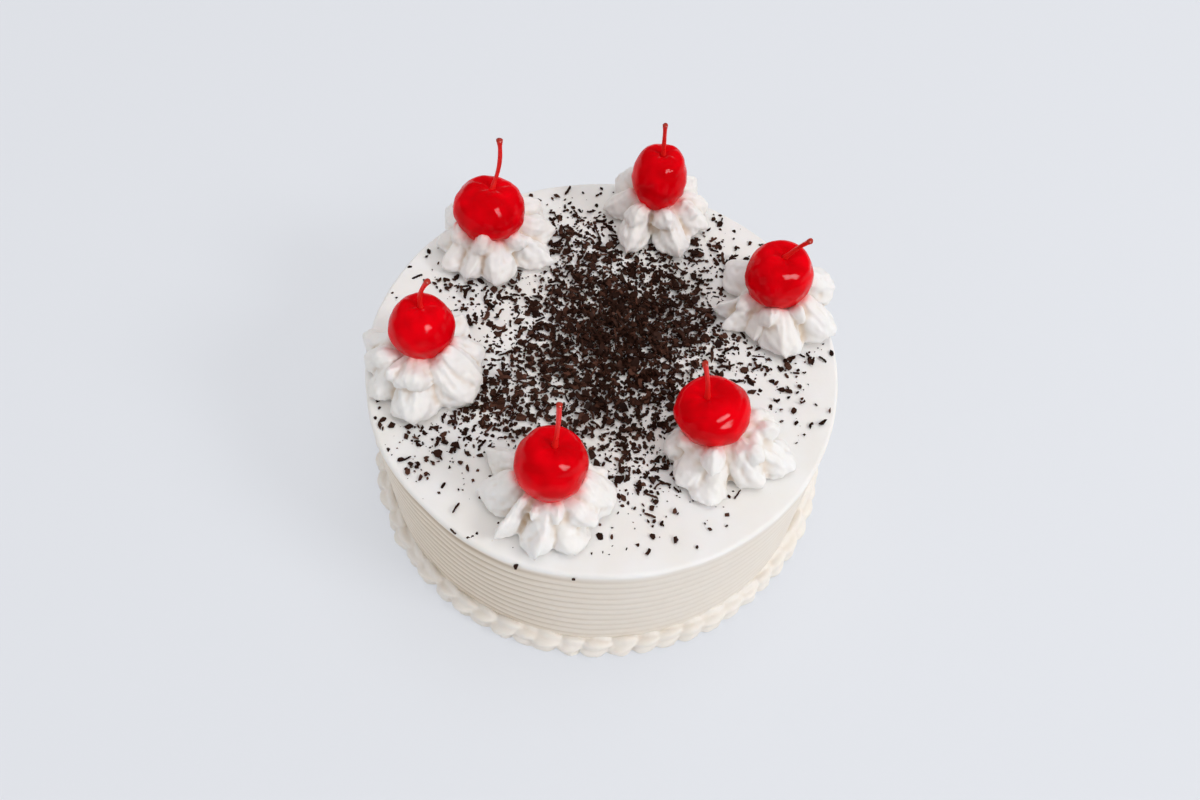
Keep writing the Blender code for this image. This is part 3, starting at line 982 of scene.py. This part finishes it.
def crumb_form(draw):
    """A grain, as an uneven eight-sided chip."""
    size = min(0.8, draw.lognormvariate(-1.15, 0.35)) * MM
    points = np.array([[value * draw.uniform(0.6, 1.25) for value in corner] for corner in CRUMB_CORNERS])
    points += np.array([[draw.uniform(-0.2, 0.2) for _ in range(3)] for _ in CRUMB_CORNERS])
    points *= np.array((size, size * 0.8, size * 0.6))
    return points, CRUMB_FACES, 0.6 * size, size


def turned(draw, points, tilt):
    """The form turned any way round and tilted by up to this many degrees or so."""
    roll = Matrix.Rotation(math.radians(draw.gauss(0.0, tilt)), 3, "X")
    nod = Matrix.Rotation(math.radians(draw.gauss(0.0, tilt)), 3, "Y")
    yaw = Matrix.Rotation(draw.uniform(0.0, math.tau), 3, "Z")
    over = Matrix.Rotation(math.pi if draw.random() < 0.5 else 0.0, 3, "X")
    return points @ np.array(yaw @ nod @ roll @ over).T


def heap_share(x, y):
    """How deep in the heap a spot lies, from 0 to 1."""
    middle_x, middle_y, wide, deep, _ = HEAPS[0]
    across = ((x / MM - middle_x) / wide) ** 2 + ((y / MM - middle_y) / deep) ** 2
    return math.exp(-0.5 * across)


def make_chocolate(name, forms, faces, tones, material):
    """Joins the shavings of one kind into one piece, with the edges of each left crisp."""
    mesh = new_mesh(name, np.vstack(forms), faces)
    set_attribute(mesh, "tone", tones)
    adopt(name, mesh, material)
    mesh.set_sharp_from_angle(angle=CRISP_ANGLE)


def strew(name, form, count, seed, pile, material):
    """Strews shavings of one kind over the heaps, each on top of what lies there."""
    draw = random.Random(seed)
    points, faces, tones = [], [], []
    total = 0
    for _ in range(count):
        x, y = strewn_spot(draw)
        local, own_faces, thick, reach = form(draw)
        local = turned(draw, local, TILT_FLAT + TILT_HEAPED * heap_share(x, y))
        level = pile.rest(x, y, 0.6 * reach, thick)
        lift = CAKE_TOP + level - local[:, 2].min() - PRESSED_IN
        points.append(local + np.array((x, y, lift)))
        faces.extend([tuple(total + corner for corner in face) for face in own_faces])
        tones.extend([min(1.0, draw.expovariate(3.2))] * len(local))
        total += len(local)
    make_chocolate(name, points, faces, tones, material)


# Pieces that lie by themselves: (x, y, how far down the side, kind, turn, size), in
# millimetres and degrees.
LONE = (
    (-33.6, -61.7, 0, "flake", 160, 0.8), (-35.8, -67.7, 0, "sliver", 20, 0.8),
    (-41.0, -66.4, 0, "sliver", 140, 0.7),
    (-51.4, -56.3, 0, "grain", 0, 1.0), (-21.6, -75.6, 0.9, "flake", 80, 1.2),
    (-4.5, -78.4, 1.1, "flake", 10, 1.1),
    (2.4, -65.0, 0, "flake", 120, 1.1), (5.4, -70.5, 0, "flake", 20, 0.7),
    (0.4, -70.3, 0, "grain", 0, 1.0),
    (5.8, -61.9, 0, "grain", 0, 1.2), (16.8, -69.1, 0, "curl", 60, 0.9),
    (15.6, -49.2, 0, "flake", 60, 1.3),
    (19.0, -52.0, 0, "flake", 150, 0.9), (29.0, -51.7, 0, "grain", 0, 1.0),
    (22.1, -38.7, 0, "flake", 130, 1.5),
    (56.7, -13.5, 0, "curl", 0, 0.8), (65.1, -13.6, 0, "curl", 200, 0.6),
    (66.7, -1.9, 0, "flake", 45, 0.8),
    (67.9, -21.3, 0, "flake", 0, 0.9), (65.1, -25.6, 0, "grain", 0, 1.3), (55.6, -6.3, 0, "flake", 0, 1.7),
    (36.9, -52.8, 0, "grain", 0, 1.0), (53.5, -47.2, 0, "grain", 0, 1.0),
)


def place_lone(material):
    """The few pieces that lie far from the heap, each where it fell."""
    forms = {"flake": flake_form, "sliver": splinter_form, "grain": crumb_form, "curl": curl_form}
    draw = random.Random(12)
    points, faces, tones = [], [], []
    total = 0
    for x, y, drop, kind, turn, size in LONE:
        local, own_faces, _, _ = forms[kind](draw)
        local = size * local @ np.array(Matrix.Rotation(math.radians(turn), 3, "Z")).T
        if drop:
            lean = Matrix.Rotation(LEAN_ON_RIM, 3, Vector((-y, x, 0.0)))
            local = local @ np.array(lean).T
        lift = CAKE_TOP - drop * MM - (0.0 if drop else local[:, 2].min() + STRAY_PRESSED_IN)
        points.append(local + np.array((x * MM, y * MM, lift)))
        faces.extend([tuple(total + corner for corner in face) for face in own_faces])
        tones.extend([draw.uniform(0.0, 0.5)] * len(local))
        total += len(local)
    make_chocolate("chocolate_strays", points, faces, tones, material)


def make_shavings(material):
    place_lone(material)
    pile = Pile()
    strew("chocolate_grains", crumb_form, 2600, 5, pile, material)
    strew("chocolate_flakes", flake_form, 5400, 6, pile, material)
    strew("chocolate_slivers", splinter_form, 420, 7, pile, material)
    strew("chocolate_curls", curl_form, 90, 8, pile, material)


# The studio

CAMERA_PLACE = Vector((0.0, -185.2, 330.7)) * MM
CAMERA_AIM = Vector((-0.2, 0.9, 30.0)) * MM
CAMERA_ROLL = math.radians(3.594)
CAMERA_LENS = 29.757


def make_camera():
    data = bpy.data.cameras.new("camera")
    data.lens = CAMERA_LENS
    data.sensor_width = 36.0
    data.clip_start = 0.01
    camera = bpy.data.objects.new("camera", data)
    bpy.context.scene.collection.objects.link(camera)
    look = (CAMERA_AIM - CAMERA_PLACE).to_track_quat("-Z", "Y").to_matrix().to_4x4()
    roll = Matrix.Rotation(CAMERA_ROLL, 4, "Z")
    camera.matrix_world = Matrix.Translation(CAMERA_PLACE) @ look @ roll
    bpy.context.scene.camera = camera


def make_lamp(name, place, aim, size, power, mirrored, lighting):
    data = bpy.data.lights.new(name, "AREA")
    data.shape = "SQUARE"
    data.size = size
    data.energy = power
    lamp = bpy.data.objects.new(name, data)
    bpy.context.scene.collection.objects.link(lamp)
    lamp.location = place
    lamp.visible_glossy = mirrored
    lamp.visible_diffuse = lighting
    lamp.rotation_euler = (Vector(aim) - Vector(place)).to_track_quat("-Z", "Y").to_euler()


WORLD_LIGHT = 0.60
WORLD_GLOSS = 0.12
FLOOR_GLOW = 0.55  # how much of the floor's tone doesn't depend on its light
FLOOR_NEAR = 0.30  # where, in metres, the floor starts to fade into the backdrop
FLOOR_FAR = 1.30


def make_world():
    world = bpy.data.worlds.new("studio")
    bpy.context.scene.world = world
    world.use_nodes = True
    nodes, links = world.node_tree.nodes, world.node_tree.links
    lighting = nodes["Background"]
    lighting.inputs["Color"].default_value = (1.0, 1.0, 1.0, 1.0)
    lighting.inputs["Strength"].default_value = WORLD_LIGHT
    shown = nodes.new("ShaderNodeBackground")
    shown.inputs["Color"].default_value = (*FLOOR_COLOUR, 1.0)
    shown.inputs["Strength"].default_value = 1.0
    mirrored = nodes.new("ShaderNodeBackground")
    mirrored.inputs["Strength"].default_value = WORLD_GLOSS
    mirrored.inputs["Color"].default_value = (1.0, 1.0, 1.0, 1.0)
    path = nodes.new("ShaderNodeLightPath")
    seen = nodes.new("ShaderNodeMixShader")
    links.new(path.outputs["Is Camera Ray"], seen.inputs["Fac"])
    links.new(lighting.outputs["Background"], seen.inputs[1])
    links.new(shown.outputs["Background"], seen.inputs[2])
    glossed = nodes.new("ShaderNodeMixShader")
    links.new(path.outputs["Is Glossy Ray"], glossed.inputs["Fac"])
    links.new(seen.outputs["Shader"], glossed.inputs[1])
    links.new(mirrored.outputs["Background"], glossed.inputs[2])
    links.new(glossed.outputs["Shader"], nodes["World Output"].inputs["Surface"])


def make_floor():
    look = Shader("studio_floor", 0.9)
    haze = look.spread(look.noise(0.8, detail=1.0), 0.3, 0.7, 0.0, 1.0)
    look.colour(look.mix(haze, FLOOR_COLOUR, tuple(0.985 * value for value in FLOOR_COLOUR)))
    look.plain(Specular_IOR_Level=0.1)
    glow = look.nodes.new("ShaderNodeEmission")
    glow.inputs["Color"].default_value = (*FLOOR_COLOUR, 1.0)
    path = look.nodes.new("ShaderNodeLightPath")
    away = look.nodes.new("ShaderNodeVectorMath")
    away.operation = "LENGTH"
    look.join(look.place, away.inputs[0])
    share = look.spread(away.outputs["Value"], FLOOR_NEAR, FLOOR_FAR, FLOOR_GLOW, 1.0)
    mix = look.nodes.new("ShaderNodeMixShader")
    look.join(look.times(path.outputs["Is Camera Ray"], share), mix.inputs["Fac"])
    look.join(look.surface.outputs["BSDF"], mix.inputs[1])
    look.join(glow.outputs["Emission"], mix.inputs[2])
    look.join(mix.outputs["Shader"], look.nodes["Material Output"].inputs["Surface"])
    half = 4.0
    mesh = bpy.data.meshes.new("studio_floor")
    corners = [(-half, -half, 0.0), (half, -half, 0.0), (half, half, 0.0), (-half, half, 0.0)]
    mesh.from_pydata(corners, [], [(0, 1, 2, 3)])
    mesh.materials.append(look.material)
    floor = bpy.data.objects.new("studio_floor", mesh)
    bpy.context.scene.collection.objects.link(floor)


def make_studio():
    make_camera()
    make_world()
    make_floor()
    make_lamp("key", (1.48, -0.60, 1.24), (0.0, 0.0, 0.05), 0.60, 13.0, False, True)
    make_lamp("overhead", (0.35, 0.35, 2.00), (0.0, 0.0, 0.05), 1.4, 9.0, False, True)
    make_lamp("fill", (-1.10, -0.90, 0.35), (0.0, 0.0, 0.05), 0.90, 1.7, False, True)
    make_lamp("window", (0.66, -0.62, 0.70), (0.0, 0.0, 0.05), 0.52, 19.0, True, False)
    bpy.context.scene.view_settings.view_transform = "Standard"


def main():
    make_studio()
    cream = cream_material("whipped_cream", CREAM_PALE, CREAM_WARM, CREAM_CREASE_SHADE)
    coat = cream_material("combed_cream", CREAM_PALE, CREAM_WARM, CREAM_GROOVE_SHADE)
    make_cake(coat)
    make_border(cream)
    cherry = cherry_material()
    stem = stem_material()
    for number in range(1, len(TOPPINGS) + 1):
        make_rosette(number, cream)
        make_cherry(number, cherry)
        make_stem(number, stem)
    make_shavings(chocolate_material("chocolate"))


main()
